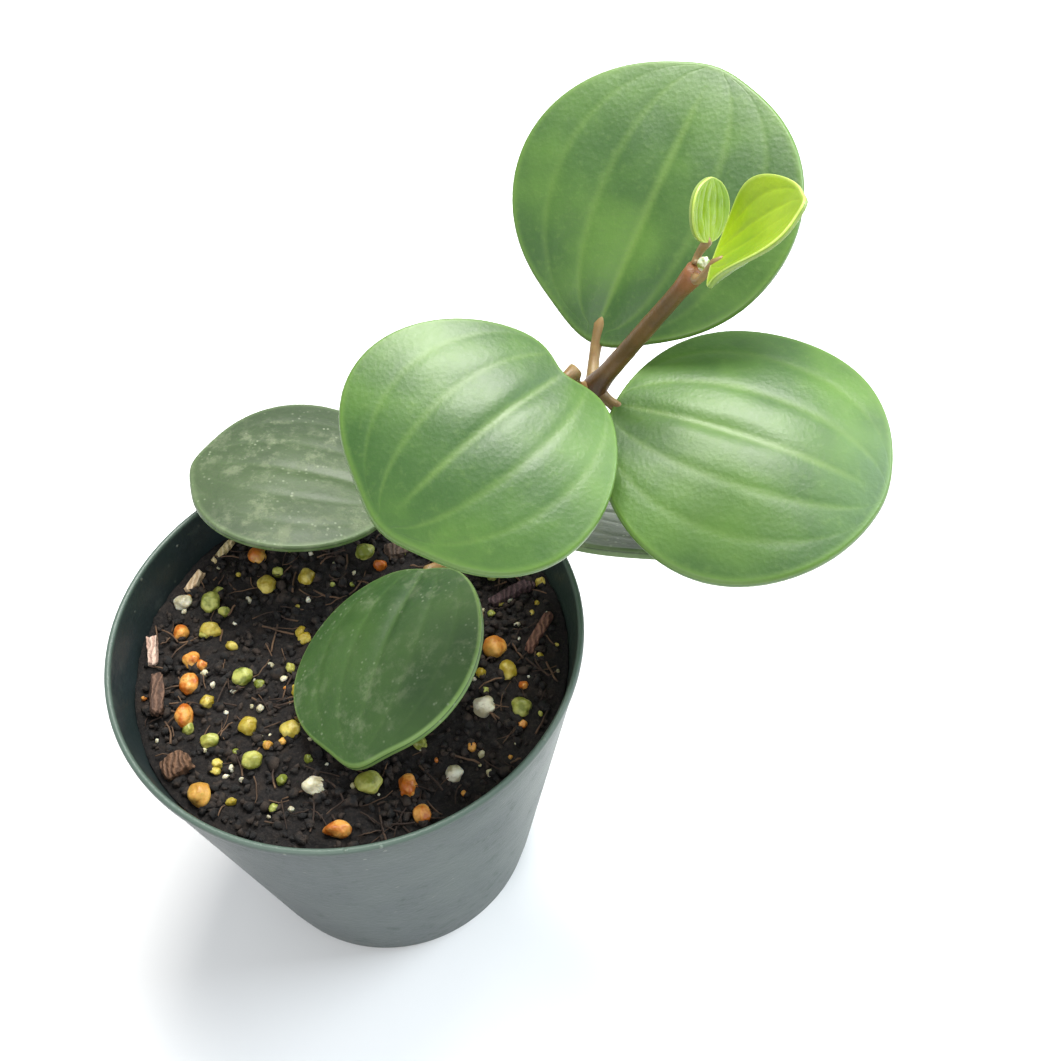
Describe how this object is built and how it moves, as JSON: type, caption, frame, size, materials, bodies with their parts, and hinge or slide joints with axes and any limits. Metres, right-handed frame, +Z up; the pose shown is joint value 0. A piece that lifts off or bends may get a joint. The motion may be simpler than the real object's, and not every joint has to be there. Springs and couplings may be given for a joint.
{
  "type": "potted peperomia",
  "caption": "Small round-leaved house plant on one leaning stem, standing in potting mix with granules, in a tapered thin-walled round nursery pot.",
  "frame": {"origin": "centre of the flat underside of the pot, on the surface it stands on", "axes": "+Z up out of the pot, the stem leans towards +X, -Y is the side the plant is seen from"},
  "size_m": [0.0992, 0.0727, 0.1233],
  "materials": {
    "pot_plastic": "satin, dusty",
    "peat": "matte, moist peat",
    "stem_skin": "satin",
    "root_skin": "matte",
    "leaf_skin": "satin gloss",
    "old_leaf_skin": "dull satin",
    "young_leaf_skin": "satin gloss",
    "bark": "rough",
    "pale_wood": "rough",
    "granule_orange": "satin",
    "granule_yellow": "satin",
    "granule_green": "satin",
    "granule_white": "satin"
  },
  "bodies": {
    "root": {"bark_chunk": "bark", "bark_piece": "bark", "bark_strip": "bark", "bud": "young_leaf_skin", "granule_01_orange": "granule_orange", "granule_02_yellow": "granule_yellow", "granule_03_yellow": "granule_yellow", "granule_04_green": "granule_green", "granule_05_white": "granule_white", "granule_06_green": "granule_green", "granule_07_orange": "granule_orange", "granule_08_yellow": "granule_yellow", "granule_09_orange": "granule_orange", "granule_10_orange": "granule_orange", "granule_11_green": "granule_green", "granule_12_orange": "granule_orange", "granule_13_yellow": "granule_yellow", "granule_14_yellow": "granule_yellow", "granule_15_green": "granule_green", "granule_16_green": "granule_green", "granule_17_orange": "granule_orange", "granule_18_white": "granule_white", "granule_19_green": "granule_green", "granule_20_orange": "granule_orange", "granule_21_white": "granule_white", "granule_22_orange": "granule_orange", "granule_23_orange": "granule_orange", "granule_24_yellow": "granule_yellow", "granule_25_white": "granule_white", "granule_26_green": "granule_green", "granule_27_orange": "granule_orange", "leaf_lower_front": "old_leaf_skin", "leaf_lower_left": "old_leaf_skin", "leaf_lower_right": "old_leaf_skin", "leaf_upper_back": "leaf_skin", "leaf_upper_front": "leaf_skin", "leaf_upper_right": "leaf_skin", "pot": "pot_plastic", "potting_mix": "peat", "purple_stick": "bark", "roots": "root_skin", "splinter_back": "pale_wood", "splinter_left": "pale_wood", "stem": "stem_skin", "straw": "pale_wood", "twig": "bark", "young_leaf_large": "young_leaf_skin", "young_leaf_small": "young_leaf_skin"}
  },
  "joints": []
}
